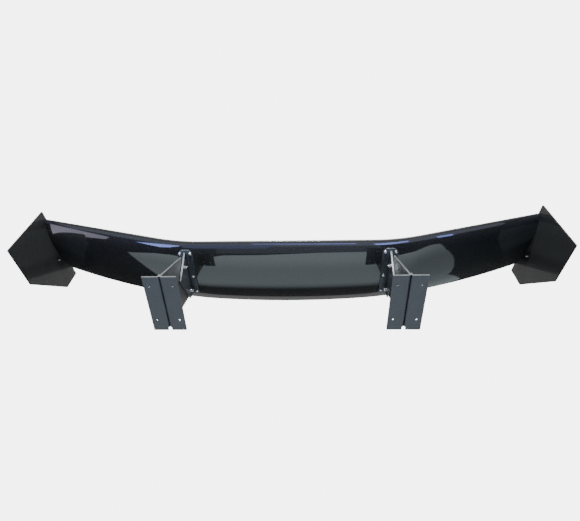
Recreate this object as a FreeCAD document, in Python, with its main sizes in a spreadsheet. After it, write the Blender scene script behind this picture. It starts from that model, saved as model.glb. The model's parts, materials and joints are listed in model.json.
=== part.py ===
import FreeCAD, Part
import math
import os
import Sketcher

# Racing rear wing on two bent-plate stands, in millimetres.
# +X is the car's right, +Y points rearward, +Z is up. The origin lies under the middle of the
# wing's bounding box, at the level of the feet.

V = FreeCAD.Vector
doc = FreeCAD.newDocument("rear_wing")

# ---------------------------------------------------------------- driving dimensions

DIMENSIONS = [
    # wing shape: leading edge (front) and trailing edge (back) at the middle and their curves
    ("span_outer", 1700), ("front_y", -78.5), ("front_z", 246), ("back_y", 176.8), ("back_z", 255),
    ("front_sweep", 0.146), ("front_rise", 0.1), ("bend_start", 300), ("bend_finish", 450),
    ("back_sweep", 101), ("back_rise", 75), ("back_rise_start", 280), ("back_rise_power", 1.6),
    ("tip_reference", 822), ("camber", 0.066), ("camber_place", 0.62), ("thickness", 0.12),
    ("skin_t", 2), ("edge_t", 2), ("bond_gap", 0.4), ("seam_start", 0.93),
    ("front_spar_at", 0.30), ("rear_spar_at", 0.67), ("spar_t", 6),
    # end plates
    ("plate_t", 4), ("plate_tilt", 12.1), ("plate_front_y", -177.6), ("plate_top_z", 291),
    ("plate_top_len", 296), ("plate_front_len", 210), ("plate_bottom_len", 147), ("plate_rear_len", 77),
    ("plate_corner", 3), ("rib_t", 10),
    # stands
    ("stand_x", 360), ("sheet_t", 5), ("bend_outer", 6), ("foot_w", 51), ("foot_len", 195),
    ("foot_front_y", -88.5), ("leg_rear_gap", 11), ("hole_dx", 35), ("hole_pitch", 125),
    ("hole_front_in", 32), ("foot_hole_r", 3.4), ("outer_leg_z", 42),
    # pivot and lock
    ("pivot_y", 101.5), ("pivot_z", 212), ("lock_y", -8.5), ("lock_z", 190), ("swing_deg", 7),
    ("bolt_r", 3), ("slot_r", 3.4), ("spacer_t", 1.4), ("side_gap", 0.1),
    # wing brackets
    ("flange_w", 52), ("flange_t", 5), ("flange_gap", 0.3), ("flange_front_y", -54.5),
    ("flange_rear_y", 130), ("row_front_y", -42.5), ("row_mid_y", 45.5), ("row_rear_y", 117.5),
    ("column_pitch", 35), ("block_margin", 16), ("block_len", 22), ("flange_front_round", 20),
    ("flange_rear_round", 5), ("web_corner_y", 15.5), ("web_corner_z", 131), ("web_corner_round", 7),
    # fasteners
    ("screw_r", 3), ("screw_hole_r", 3.3), ("head_r", 5.25), ("head_z", 3.3), ("socket_af", 4),
    ("socket_z", 2), ("insert_r", 4.5), ("insert_len", 6), ("nut_af", 10), ("nut_z", 6),
    ("washer_r", 6), ("washer_t", 1.2), ("hexhead_z", 4), ("thread_slack", 0.1),
    # the smaller screw at the lower corner of each end plate
    ("small_screw_r", 2), ("small_hole_r", 2.25), ("small_head_r", 3.8), ("small_head_z", 2.2),
    ("small_socket_af", 2.5), ("small_socket_z", 1.3), ("small_nut_af", 7), ("small_nut_z", 3.2),
]

sheet = doc.addObject("Spreadsheet::Sheet", "Dimensions")
for row, (alias, value) in enumerate(DIMENSIONS, start=1):
    sheet.set("A%d" % row, alias)
    sheet.set("B%d" % row, str(value))
    sheet.setAlias("B%d" % row, alias)
doc.recompute()


def dim(alias):
    """The value of one named cell of the sheet."""
    return float(getattr(sheet, alias))


def bind(obj, **expressions):
    """Tie properties of an object to expressions whose words are the sheet's names."""
    aliases = [alias for alias, _ in DIMENSIONS]
    for prop, text in expressions.items():
        words = ["Dimensions." + word if word in aliases else word for word in text.split(" ")]
        obj.setExpression(prop, " ".join(words))


EXPORTED = []


def export_as(obj, node):
    """Name a finished sub-part and list it for export."""
    obj.Label = node
    EXPORTED.append(obj)
    return obj


def mirrored(source, node):
    """The left-hand copy of a right-hand sub-part."""
    copy = doc.addObject("Part::Mirroring", node)
    copy.Source = source
    copy.Normal = V(1, 0, 0)
    return export_as(copy, node)


def right_and_left(source, name):
    """Export a right-hand sub-part and its mirror image."""
    export_as(source, "right_" + name)
    mirrored(source, "left_" + name)


# ---------------------------------------------------------------- shape of the wing

TIP_X = dim("span_outer") / 2 - dim("plate_t") - dim("bond_gap") / 2
STATION_COUNT = 12
STATIONS = [TIP_X * i / STATION_COUNT for i in range(STATION_COUNT + 1)]
CHORD_STEPS = 12


def bend(x):
    """Distance travelled outboard past the soft corner at the stands."""
    start = dim("bend_start")
    finish = dim("bend_finish")
    if x <= start:
        return 0.0
    if x < finish:
        return (x - start) ** 2 / (2 * (finish - start))
    return x - (start + finish) / 2


def chord_frame(x):
    """Leading edge point, chord direction, its normal and the chord at a station."""
    x = abs(x)
    front = V(0, dim("front_y") - dim("front_sweep") * bend(x), dim("front_z") + dim("front_rise") * bend(x))
    reach = dim("tip_reference") - dim("back_rise_start")
    rise = (max(x - dim("back_rise_start"), 0) / reach) ** dim("back_rise_power")
    back_y = dim("back_y") - dim("back_sweep") * (x / dim("tip_reference")) ** 2
    back = V(0, back_y, dim("back_z") + dim("back_rise") * rise)
    along = (back - front).normalize()
    normal = V(0, -along.z, along.y)
    return front, along, normal, (back - front).Length


def camber_line(f):
    """Drop of the mean line below the chord at fraction f, as a share of the chord."""
    place = dim("camber_place")
    if f < place:
        return dim("camber") / place ** 2 * (2 * place * f - f * f)
    return dim("camber") / (1 - place) ** 2 * (1 - 2 * place + 2 * place * f - f * f)


def half_thickness(f, chord):
    """Half the section's thickness at fraction f, in millimetres."""
    shape = 0.2969 * math.sqrt(f) - 0.126 * f - 0.3516 * f ** 2 + 0.2843 * f ** 3 - 0.1036 * f ** 4
    return 5 * dim("thickness") * chord * shape + dim("edge_t") / 2 * f


def flat_outline(f, chord, side):
    """Outer surface in chord axes: side is +1 above and -1 below."""
    return (f * chord, -camber_line(f) * chord + side * half_thickness(f, chord))


def inset_outline(f, chord, side, inset):
    """Outer surface moved inwards, square to itself, by the inset."""
    step = 1e-4
    low = flat_outline(max(f - step, 0), chord, side)
    high = flat_outline(f + step, chord, side)
    length = math.hypot(high[0] - low[0], high[1] - low[1])
    tangent = ((high[0] - low[0]) / length, (high[1] - low[1]) / length)
    point = flat_outline(f, chord, side)
    return (point[0] + side * tangent[1] * inset, point[1] - side * tangent[0] * inset)


def place_point(x, flat):
    """A point of the chord axes in the part's frame."""
    front, along, normal, _ = chord_frame(x)
    return V(x, 0, 0) + front + along * flat[0] + normal * flat[1]


def surface_point(x, f, side, inset=0.0):
    """A point of the wing's surface, or of a surface inset into the wing."""
    chord = chord_frame(x)[3]
    if inset:
        return place_point(x, inset_outline(f, chord, side, inset))
    return place_point(x, flat_outline(f, chord, side))


def point_at_y(x, y, side, inset=0.0):
    """The surface point of a station that has the given Y."""
    front, along, _, chord = chord_frame(x)
    f = (y - front.y) / chord
    for _ in range(6):
        f += (y - surface_point(x, f, side, inset).y) / chord
    return surface_point(x, f, side, inset)


def smooth_edge(points):
    """One spline edge through the points."""
    curve = Part.BSplineCurve()
    curve.interpolate(points)
    return curve.toShape()


def skin_wire(x, side):
    """Closed section of the upper (+1) or lower (-1) skin at a station."""
    chord = chord_frame(x)[3]
    steps = [(1 - math.cos(math.pi * i / CHORD_STEPS)) / 2 for i in range(CHORD_STEPS + 1)]
    steps.insert(1, steps[1] / 4)
    outer = [surface_point(x, f, side) for f in steps]
    inner = [surface_point(x, f, side, dim("skin_t")) for f in steps[:-3]]
    seam = dim("seam_start")
    inner.append(place_point(x, (seam * chord, -camber_line(seam) * chord)))
    seam_end = place_point(x, (chord, 0))
    edges = [smooth_edge(outer), Part.LineSegment(outer[-1], seam_end).toShape(),
             Part.LineSegment(seam_end, inner[-1]).toShape(), smooth_edge(inner[::-1]),
             Part.LineSegment(inner[0], outer[0]).toShape()]
    return Part.Wire(edges)


def both_sides(stations):
    """Stations from the left tip to the right tip."""
    return [-x for x in reversed(stations) if x] + list(stations)


def spar_wire(x, fraction):
    """Section of a spar that stands between the skins."""
    chord = chord_frame(x)[3]
    half = dim("spar_t") / 2 / chord
    inset = dim("skin_t") + dim("bond_gap")
    corners = [surface_point(x, fraction - half, -1, inset), surface_point(x, fraction + half, -1, inset),
               surface_point(x, fraction + half, 1, inset), surface_point(x, fraction - half, 1, inset)]
    return Part.makePolygon(corners + [corners[0]])


def screw_places():
    """Foot point and axis of the six wing screws of the right-hand bracket."""
    places = []
    for row in ("row_front_y", "row_mid_y", "row_rear_y"):
        for column in (-0.5, 0.5):
            x = WEB_X + column * dim("column_pitch")
            below = point_at_y(x, dim(row), -1, -dim("flange_gap") - dim("flange_t"))
            ahead = point_at_y(x, dim(row) + 1, -1, -dim("flange_gap") - dim("flange_t"))
            slope = ahead - below
            places.append((below, V(0, -slope.z, slope.y).normalize()))
    return places


# ---------------------------------------------------------------- planes across a stand

SHEET = dim("sheet_t")
UPRIGHT_IN = dim("stand_x") - SHEET
WEB_OUT = UPRIGHT_IN - dim("spacer_t")
WEB_IN = WEB_OUT - SHEET
WEB_X = (WEB_IN + WEB_OUT) / 2
SCREWS = screw_places()
SKIN_TOP = dim("flange_t") + dim("flange_gap") + dim("skin_t")


def rods(places, radius, start, length):
    """Round bars along the screw axes, from start to start + length above each foot point."""
    return [Part.makeCylinder(radius, length, foot + axis * start, axis) for foot, axis in places]


def mirror_places(places):
    """The same places on the left-hand side."""
    return [(V(-foot.x, foot.y, foot.z), axis) for foot, axis in places]


def plain(shape, node):
    """A document object that holds a finished shape."""
    obj = doc.addObject("Part::Feature", node)
    obj.Shape = shape
    return obj


# ---------------------------------------------------------------- skins, spars, ribs, blocks

def build_skins():
    """The two moulded half shells, bonded along the leading and trailing edges."""
    for side, node in ((1, "upper_skin"), (-1, "lower_skin")):
        wires = [skin_wire(x, side) for x in both_sides(STATIONS)]
        shell = Part.makeLoft(wires, True, False)
        if side < 0:
            places = SCREWS + mirror_places(SCREWS)
            for rod in rods(places, dim("screw_hole_r"), 0, SKIN_TOP + 4):
                shell = shell.cut(rod)
        export_as(plain(shell, node), node)


def build_spars():
    """Two full-width webs that keep the skins apart."""
    inner_tip = TIP_X - dim("rib_t") - dim("bond_gap") * 2
    stations = [x for x in STATIONS if x < inner_tip] + [inner_tip]
    for alias, node in (("front_spar_at", "front_spar"), ("rear_spar_at", "rear_spar")):
        wires = [spar_wire(x, dim(alias)) for x in both_sides(stations)]
        export_as(plain(Part.makeLoft(wires, True, False), node), node)


def prism_between(x_low, x_high, fractions, inset):
    """A block that fills the wing between two stations over a range of the chord."""
    wires = []
    for x in (x_low, x_high):
        lower = [surface_point(x, f, -1, inset) for f in fractions]
        upper = [surface_point(x, f, 1, inset) for f in reversed(fractions)]
        corners = lower + upper
        wires.append(Part.makePolygon(corners + [corners[0]]))
    return Part.makeLoft(wires, True, True)


RIB_FRACTIONS = [0.08 + 0.07 * i for i in range(12)]
RIB_SCREW_FRACTIONS = (0.16, 0.42, 0.70)


def rib_screw_points():
    """Centres of the end-plate screws, on the mean line of the tip section."""
    chord = chord_frame(TIP_X)[3]
    return [place_point(TIP_X, (f * chord, -camber_line(f) * chord)) for f in RIB_SCREW_FRACTIONS]


def build_ribs():
    """Tip ribs that close the wing, each with three threaded inserts for the end plate."""
    inset = dim("skin_t") + dim("bond_gap")
    rib = prism_between(TIP_X - dim("rib_t"), TIP_X - dim("bond_gap"), RIB_FRACTIONS, inset)
    inserts = []
    start = TIP_X - dim("rib_t") - 1
    slack = dim("thread_slack")
    for point in rib_screw_points():
        foot = V(start, point.y, point.z)
        rib = rib.cut(Part.makeCylinder(dim("insert_r") + slack, dim("rib_t") + 2, foot, V(1, 0, 0)))
        sleeve = Part.makeCylinder(dim("insert_r"), dim("rib_t") - 1, foot + V(1.2, 0, 0), V(1, 0, 0))
        bore = Part.makeCylinder(dim("screw_r") + slack, dim("rib_t") + 2, foot, V(1, 0, 0))
        inserts.append(sleeve.cut(bore))
    right_and_left(plain(rib, "rib"), "tip_rib")
    right_and_left(plain(Part.makeCompound(inserts), "rib_inserts"), "tip_rib_inserts")


THROUGH = 60.0


def build_blocks():
    """Three hard blocks over each bracket, with the threaded inserts that take its screws."""
    chord = chord_frame(WEB_X)[3]
    reach = (dim("column_pitch") + dim("block_margin")) / 2
    half = dim("block_len") / 2 / chord
    slack = dim("thread_slack")
    blocks = []
    sleeves = []
    for row in (0, 2, 4):
        y = (SCREWS[row][0].y + SCREWS[row + 1][0].y) / 2
        f = (y - chord_frame(WEB_X)[0].y) / chord
        edges = [f - half, f, f + half]
        block = prism_between(WEB_X - reach, WEB_X + reach, edges, dim("skin_t") + 2 * dim("bond_gap"))
        for bar in rods(SCREWS[row:row + 2], dim("insert_r") + slack, 0, THROUGH):
            block = block.cut(bar)
        blocks.append(block)
    bars = rods(SCREWS, dim("insert_r"), SKIN_TOP + 0.5, dim("insert_len"))
    bores = rods(SCREWS, dim("screw_r") + slack, 0, THROUGH)
    for bar, bore in zip(bars, bores):
        sleeves.append(bar.cut(bore))
    right_and_left(plain(Part.makeCompound(blocks), "blocks"), "mounting_blocks")
    right_and_left(plain(Part.makeCompound(sleeves), "block_inserts"), "mounting_inserts")


# ---------------------------------------------------------------- wing brackets

def flange_wire(x):
    """Section of the bracket's curved flange at a station."""
    count = 9
    front = dim("flange_front_y")
    pitch = (dim("flange_rear_y") - front) / (count - 1)
    gap = dim("flange_gap")
    top = [point_at_y(x, front + pitch * i, -1, -gap) for i in range(count)]
    under = [point_at_y(x, front + pitch * i, -1, -gap - dim("flange_t")) for i in range(count)]
    edges = [smooth_edge(top), Part.LineSegment(top[-1], under[-1]).toShape(),
             smooth_edge(under[::-1]), Part.LineSegment(under[0], top[0]).toShape()]
    return Part.Wire(edges)


def rounded_outline(front_radius, rear_radius):
    """Plan view of the flange: well rounded in front, lightly behind, as a tall prism."""
    half = dim("flange_w") / 2
    front = dim("flange_front_y")
    rear = dim("flange_rear_y")
    box = Part.makeBox(2 * half, rear - front, 80, V(WEB_X - half, front, 190))
    upright_edges = [e for e in box.Edges if abs(e.Vertexes[0].Z - e.Vertexes[-1].Z) > 1]
    in_front = [e for e in upright_edges if e.Vertexes[0].Y < 0]
    behind = [e for e in upright_edges if e.Vertexes[0].Y > 0]
    return box.makeFillet(front_radius, in_front).makeFillet(rear_radius, behind)


def web_shape():
    """Triangular web under the flange, with its lower corner between the two bolts."""
    front = dim("flange_front_y") + 8
    rear = dim("flange_rear_y") - 6
    top = [point_at_y(WEB_X, front + (rear - front) * i / 8, -1, -dim("flange_gap") - 2) for i in range(9)]
    start = V(WEB_IN, top[0].y, top[0].z)
    end = V(WEB_IN, top[-1].y, top[-1].z)
    corner = V(WEB_IN, dim("web_corner_y"), dim("web_corner_z"))
    below_rear = V(WEB_IN, rear + 2, dim("pivot_z") - 12)
    below_front = V(WEB_IN, front, top[0].z - 9)
    curve = smooth_edge([V(WEB_IN, p.y, p.z) for p in top])
    path = [end, below_rear, corner, below_front, start]
    lines = [Part.LineSegment(a, b).toShape() for a, b in zip(path, path[1:])]
    web = Part.Face(Part.Wire([curve] + lines)).extrude(V(SHEET, 0, 0))
    rounded = [e for e in web.Edges if is_cross_edge(e) and near(e, corner)]
    return web.makeFillet(dim("web_corner_round"), rounded)


def is_cross_edge(edge):
    """True for a straight edge that runs along X."""
    ends = edge.Vertexes
    return len(ends) == 2 and abs(ends[0].X - ends[1].X) > 1


def near(edge, point):
    """True when an edge along X passes through the point's Y and Z."""
    return abs(edge.Vertexes[0].Y - point.y) < 0.1 and abs(edge.Vertexes[0].Z - point.z) < 0.1


def build_bracket():
    """T-shaped bracket that carries the wing on the stand."""
    half = dim("flange_w") / 2
    stations = [WEB_X - half - 1, WEB_X - half / 3, WEB_X + half / 3, WEB_X + half + 1]
    flange = Part.makeLoft([flange_wire(x) for x in stations], True, False)
    flange = flange.common(rounded_outline(dim("flange_front_round"), dim("flange_rear_round")))
    solid = flange.fuse(web_shape()).removeSplitter()
    seats = rods(SCREWS, dim("head_r") + 0.4, -dim("head_z"), dim("head_z"))
    for rod in seats + rods(SCREWS, dim("screw_hole_r"), -2, dim("flange_t") + 4):
        solid = solid.cut(rod)
    start = V(WEB_IN - 1, 0, 0)
    for y, z, radius in ((dim("pivot_y"), dim("pivot_z"), dim("bolt_r") + 0.05),
                         (dim("lock_y"), dim("lock_z"), dim("bolt_r") + 0.2)):
        solid = solid.cut(Part.makeCylinder(radius, SHEET + 2, start + V(0, y, z), V(1, 0, 0)))
    right_and_left(plain(solid, "bracket"), "wing_bracket")


# ---------------------------------------------------------------- sketch helpers

def plane(body, role):
    """One of a body's own origin planes or axes."""
    for feature in body.Origin.OriginFeatures:
        if feature.Role == role:
            return feature
    raise ValueError(role)


def new_sketch(body, role, name):
    """A sketch on one of the body's origin planes."""
    sketch = body.newObject("Sketcher::SketchObject", name)
    sketch.AttachmentSupport = [(plane(body, role), "")]
    sketch.MapMode = "FlatFace"
    return sketch


def draw_chain(sketch, pieces):
    """A closed outline of lines and arcs, each joined to the next."""
    first = sketch.GeometryCount
    for piece in pieces:
        sketch.addGeometry(piece, False)
    count = len(pieces)
    for i in range(count):
        here = pieces[i]
        after = pieces[(i + 1) % count]
        end = 1 if runs_backward(here) else 2
        start = 2 if runs_backward(after) else 1
        joint = Sketcher.Constraint("Coincident", first + i, end, first + (i + 1) % count, start)
        sketch.addConstraint(joint)


def runs_backward(piece):
    """A sketch stores an arc anticlockwise, so one drawn clockwise ends at its first point."""
    if isinstance(piece, Part.LineSegment):
        return False
    a, b, c = [piece.value(piece.FirstParameter + (piece.LastParameter - piece.FirstParameter) * t)
               for t in (0, 0.5, 1)]
    return ((b - a).cross(c - b)).z < 0


def draw_polygon(sketch, points):
    """Closed straight outline."""
    corners = [V(px, py, 0) for px, py in points]
    draw_chain(sketch, [Part.LineSegment(a, b) for a, b in zip(corners, corners[1:] + corners[:1])])


def draw_circle(sketch, centre, radius_alias):
    """A circle whose radius follows the sheet."""
    circle = Part.Circle(V(centre[0], centre[1], 0), V(0, 0, 1), dim(radius_alias))
    index = sketch.addGeometry(circle, False)
    place = sketch.addConstraint(Sketcher.Constraint("Radius", index, dim(radius_alias)))
    sketch.setExpression("Constraints[%d]" % place, "Dimensions." + radius_alias)


def add_feature(body, kind, name, sketch, **settings):
    """A sketch-based feature, made the tip of its body."""
    feature = body.newObject("PartDesign::" + kind, name)
    feature.Profile = sketch
    for prop, value in settings.items():
        setattr(feature, prop, value)
    body.Tip = feature
    return feature


def cut_through(body, name, sketch):
    """Cut a sketch right through the body both ways and make sure that it removed something."""
    doc.recompute()
    before = body.Shape.Volume
    add_feature(body, "Pocket", name, sketch, Type="ThroughAll", Midplane=True)
    doc.recompute()
    check_smaller(body, before, name)


def cut_upward(body, name, sketch, depth):
    """Cut a sketch from its plane towards its normal by a depth."""
    doc.recompute()
    before = body.Shape.Volume
    add_feature(body, "Pocket", name, sketch, Type="Length", Length=depth, Reversed=True)
    doc.recompute()
    check_smaller(body, before, name)


def check_smaller(body, before, name):
    """Stop when a cut has removed nothing."""
    if body.Shape.Volume > before - 0.1:
        raise RuntimeError(name + " cut nothing")


# ---------------------------------------------------------------- stands

LEG_REAR = dim("foot_len") - dim("leg_rear_gap")
TOP_REAR_Y = dim("pivot_y") - dim("foot_front_y") + 22
UPRIGHT_TOP = dim("pivot_z") + 6


def bent_sheet(body, name, side, length, leg_top):
    """L-section of a bent plate: a leg along X = 0 and a foot along Z = 0 towards the given side."""
    radius = dim("bend_outer")
    foot = side * dim("foot_w")
    bend_x = side * radius
    centre = V(bend_x, radius, 0)
    diagonal = V(-side, -1, 0) * math.sqrt(0.5)
    sheet_x = side * SHEET
    path = [V(0, leg_top, 0), V(0, radius, 0), V(bend_x, 0, 0), V(foot, 0, 0), V(foot, SHEET, 0),
            V(bend_x, SHEET, 0), V(sheet_x, radius, 0), V(sheet_x, leg_top, 0)]
    pieces = [Part.LineSegment(a, b) for a, b in zip(path, path[1:] + path[:1])]
    pieces[1] = Part.Arc(path[1], centre + diagonal * radius, path[2])
    pieces[5] = Part.Arc(path[5], centre + diagonal * (radius - SHEET), path[6])
    sketch = new_sketch(body, "XZ_Plane", name + "_section")
    draw_chain(sketch, pieces)
    add_feature(body, "Pad", name + "_sheet", sketch, Length=length, Reversed=True)
    doc.recompute()


def foot_holes(body, name, side):
    """The two fixing holes of a foot."""
    sketch = new_sketch(body, "XY_Plane", name + "_foot_holes")
    front = dim("hole_front_in")
    for y in (front, front + dim("hole_pitch")):
        draw_circle(sketch, (side * dim("hole_dx"), y), "foot_hole_r")
    cut_through(body, name + "_foot_hole_cut", sketch)


CLAMP_Y = (58.0, 150.0)
CLAMP_Z = 26.0


def clamp_holes(body, name):
    """The two holes that clamp the legs of a stand together."""
    sketch = new_sketch(body, "YZ_Plane", name + "_clamp_holes")
    for y in CLAMP_Y:
        draw_circle(sketch, (y, CLAMP_Z), "screw_hole_r")
    cut_through(body, name + "_clamp_cut", sketch)


def slot_outline(centre, start, angle, radius):
    """Round-ended arc slot about a centre: it starts at a point and turns by an angle in degrees."""
    reach = math.hypot(start[0] - centre[0], start[1] - centre[1])
    first = math.atan2(start[1] - centre[1], start[0] - centre[0])
    last = first + math.radians(angle)
    middle = (first + last) / 2

    def at(turn, distance):
        return V(centre[0] + distance * math.cos(turn), centre[1] + distance * math.sin(turn), 0)

    cap = radius / reach
    return [Part.Arc(at(first, reach + radius), at(middle, reach + radius), at(last, reach + radius)),
            Part.Arc(at(last, reach + radius), at(last + cap, reach), at(last, reach - radius)),
            Part.Arc(at(last, reach - radius), at(middle, reach - radius), at(first, reach - radius)),
            Part.Arc(at(first, reach - radius), at(first - cap, reach), at(first, reach + radius))]


def build_upright():
    """Full-height plate, bent inboard at the bottom to make the inner foot."""
    body = doc.addObject("PartDesign::Body", "upright")
    length = dim("foot_len")
    bent_sheet(body, "upright", -1, TOP_REAR_Y, UPRIGHT_TOP)
    offcuts = new_sketch(body, "YZ_Plane", "upright_offcuts")
    above = UPRIGHT_TOP + 10
    draw_polygon(offcuts, [(-5, 10), (0, 10), (44, 194), (52, 201), (140, 205), (172, UPRIGHT_TOP),
                           (172, above), (-5, above)])
    draw_polygon(offcuts, [(LEG_REAR, 20), (TOP_REAR_Y - 2, 208), (TOP_REAR_Y - 9, UPRIGHT_TOP),
                           (TOP_REAR_Y - 9, above), (TOP_REAR_Y + 5, above), (TOP_REAR_Y + 5, 20)])
    cut_through(body, "upright_outline", offcuts)
    far = TOP_REAR_Y + 1
    wide = -dim("foot_w") - 1
    relief = new_sketch(body, "XY_Plane", "upright_relief")
    draw_polygon(relief, [(1, LEG_REAR), (1, far), (wide, far), (wide, length), (-dim("bend_outer"), length),
                          (-dim("bend_outer"), LEG_REAR)])
    cut_upward(body, "upright_foot_end", relief, 20)
    foot_holes(body, "upright", -1)
    clamp_holes(body, "upright")
    pivot = (dim("pivot_y") - dim("foot_front_y"), dim("pivot_z"))
    lock = (dim("lock_y") - dim("foot_front_y"), dim("lock_z"))
    bores = new_sketch(body, "YZ_Plane", "pivot_and_slot")
    draw_circle(bores, pivot, "screw_hole_r")
    draw_chain(bores, slot_outline(pivot, lock, dim("swing_deg") + 0.4, dim("slot_r")))
    cut_through(body, "pivot_and_slot_cut", bores)
    body.Placement = FreeCAD.Placement(V(dim("stand_x"), dim("foot_front_y"), 0), FreeCAD.Rotation())
    bind(body, **{".Placement.Base.x": "stand_x", ".Placement.Base.y": "foot_front_y"})
    right_and_left(body, "upright")


def build_outer_foot():
    """Short bent plate, bolted to the outside of the upright, that makes the outer foot."""
    body = doc.addObject("PartDesign::Body", "outer_foot")
    length = dim("foot_len")
    top = dim("outer_leg_z")
    bent_sheet(body, "outer_foot", 1, length, top)
    chamfers = new_sketch(body, "YZ_Plane", "outer_foot_chamfers")
    draw_polygon(chamfers, [(-5, 14), (0, 14), (26, top), (26, top + 5), (-5, top + 5)])
    draw_polygon(chamfers, [(LEG_REAR, 14), (LEG_REAR, top + 5), (LEG_REAR - 12, top + 5), (LEG_REAR - 12, top)])
    cut_through(body, "outer_foot_corners", chamfers)
    relief = new_sketch(body, "XY_Plane", "outer_foot_relief")
    draw_polygon(relief, [(-1, LEG_REAR), (-1, length + 1), (dim("bend_outer"), length + 1),
                          (dim("bend_outer"), LEG_REAR)])
    cut_upward(body, "outer_foot_rear", relief, top + 5)
    foot_holes(body, "outer_foot", 1)
    clamp_holes(body, "outer_foot")
    body.Placement = FreeCAD.Placement(V(dim("stand_x"), dim("foot_front_y"), 0), FreeCAD.Rotation())
    bind(body, **{".Placement.Base.x": "stand_x", ".Placement.Base.y": "foot_front_y"})
    right_and_left(body, "outer_foot")


# ---------------------------------------------------------------- end plates

def plate_axes():
    """Top front corner of the end plate, the way along its top edge and the way down its front."""
    tilt = math.radians(dim("plate_tilt"))
    return (V(0, dim("plate_front_y"), dim("plate_top_z")), V(0, math.cos(tilt), math.sin(tilt)),
            V(0, math.sin(tilt), -math.cos(tilt)))


def plate_local(point):
    """A point of the part's frame in the end plate's own sketch axes."""
    corner, along, down = plate_axes()
    offset = V(0, point.y, point.z) - corner
    return (offset.dot(along), -offset.dot(down))


LOWER_SCREW_PLACE = (186.0, -44.0)


def build_end_plate():
    """Flat plate with its lower rear corner cut off."""
    body = doc.addObject("PartDesign::Body", "end_plate")
    outline = new_sketch(body, "YZ_Plane", "plate_outline")
    top = dim("plate_top_len")
    draw_polygon(outline, [(0, 0), (0, -dim("plate_front_len")), (dim("plate_bottom_len"), -dim("plate_front_len")),
                           (top, -dim("plate_rear_len")), (top, 0)])
    pad = add_feature(body, "Pad", "plate_sheet", outline, Length=dim("plate_t"))
    bind(pad, Length="plate_t")
    doc.recompute()
    corners = ["Edge%d" % (i + 1) for i, edge in enumerate(pad.Shape.Edges) if is_cross_edge(edge)]
    rounding = body.newObject("PartDesign::Fillet", "plate_corners")
    rounding.Base = (pad, corners)
    rounding.Radius = dim("plate_corner")
    bind(rounding, Radius="plate_corner")
    body.Tip = rounding
    doc.recompute()
    holes = new_sketch(body, "YZ_Plane", "plate_holes")
    for point in rib_screw_points():
        draw_circle(holes, plate_local(point), "screw_hole_r")
    draw_circle(holes, LOWER_SCREW_PLACE, "small_hole_r")
    cut_through(body, "plate_hole_cut", holes)
    place = V(dim("span_outer") / 2 - dim("plate_t"), dim("plate_front_y"), dim("plate_top_z"))
    body.Placement = FreeCAD.Placement(place, FreeCAD.Rotation(V(1, 0, 0), dim("plate_tilt")))
    right_and_left(body, "end_plate")


# ---------------------------------------------------------------- fasteners

def hexagon(across_flats):
    """Corners of a hexagon with the given width across its flats."""
    corner = across_flats / math.sqrt(3)
    return [(corner * math.cos(math.radians(60 * i)), corner * math.sin(math.radians(60 * i))) for i in range(6)]


def button_screw(name, shank, size=""):
    """Dome-headed socket screw: the head's underside at Z = 0, the head below, the shank above."""
    body = doc.addObject("PartDesign::Body", name)
    head = dim(size + "head_r")
    height = dim(size + "head_z")
    flat = head * 0.55
    rim = -height * 0.2
    knee = V(head * 0.86, -height * 0.72, 0)
    r = dim(size + "screw_r")
    path = [V(0, -height, 0), V(flat, -height, 0), V(head, rim, 0), V(head, 0, 0), V(r, 0, 0),
            V(r, shank - 0.6, 0), V(r - 0.6, shank, 0), V(0, shank, 0)]
    pieces = [Part.LineSegment(a, b) for a, b in zip(path, path[1:] + path[:1])]
    pieces[1] = Part.Arc(path[1], knee, path[2])
    profile = new_sketch(body, "XZ_Plane", name + "_profile")
    draw_chain(profile, pieces)
    add_feature(body, "Revolution", name + "_turned", profile, ReferenceAxis=(plane(body, "Z_Axis"), [""]))
    socket = new_sketch(body, "XY_Plane", name + "_socket")
    draw_polygon(socket, hexagon(dim(size + "socket_af")))
    socket.AttachmentOffset = FreeCAD.Placement(V(0, 0, -height - 1), FreeCAD.Rotation())
    cut_upward(body, name + "_socket_cut", socket, dim(size + "socket_z") + 1)
    return body


def hex_piece(name, across_flats, height, bore_alias):
    """A bored hexagonal prism from Z = 0 up."""
    body = doc.addObject("PartDesign::Body", name)
    outline = new_sketch(body, "XY_Plane", name + "_hexagon")
    draw_polygon(outline, hexagon(across_flats))
    draw_circle(outline, (0, 0), bore_alias)
    add_feature(body, "Pad", name + "_prism", outline, Length=height)
    return body


def hex_bolt(name, shank):
    """Hexagon-headed bolt: the head's underside at Z = 0, the head below, the shank above."""
    body = doc.addObject("PartDesign::Body", name)
    outline = new_sketch(body, "XY_Plane", name + "_head_outline")
    draw_polygon(outline, hexagon(dim("nut_af")))
    head = add_feature(body, "Pad", name + "_head", outline, Length=dim("hexhead_z"), Reversed=True)
    bind(head, Length="hexhead_z")
    doc.recompute()
    circle = new_sketch(body, "XY_Plane", name + "_shank_outline")
    draw_circle(circle, (0, 0), "bolt_r")
    add_feature(body, "Pad", name + "_shank", circle, Length=shank)
    return body


def ring(name, outer_alias, height_alias, bore_alias):
    """A washer or spacer from Z = 0 up."""
    body = doc.addObject("PartDesign::Body", name)
    outline = new_sketch(body, "XY_Plane", name + "_outline")
    draw_circle(outline, (0, 0), outer_alias)
    draw_circle(outline, (0, 0), bore_alias)
    pad = add_feature(body, "Pad", name + "_disc", outline, Length=dim(height_alias))
    bind(pad, Length=height_alias)
    return body


def group(master, places, name):
    """Copies of a master piece, each with its foot at a point and its axis along a direction."""
    copies = []
    for foot, axis in places:
        copy = master.Shape.copy()
        copy.Placement = FreeCAD.Placement(foot, FreeCAD.Rotation(V(0, 0, 1), axis))
        copies.append(copy)
    right_and_left(plain(Part.makeCompound(copies), name + "_group"), name)


INBOARD = V(-1, 0, 0)
OUTBOARD = V(1, 0, 0)


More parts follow.
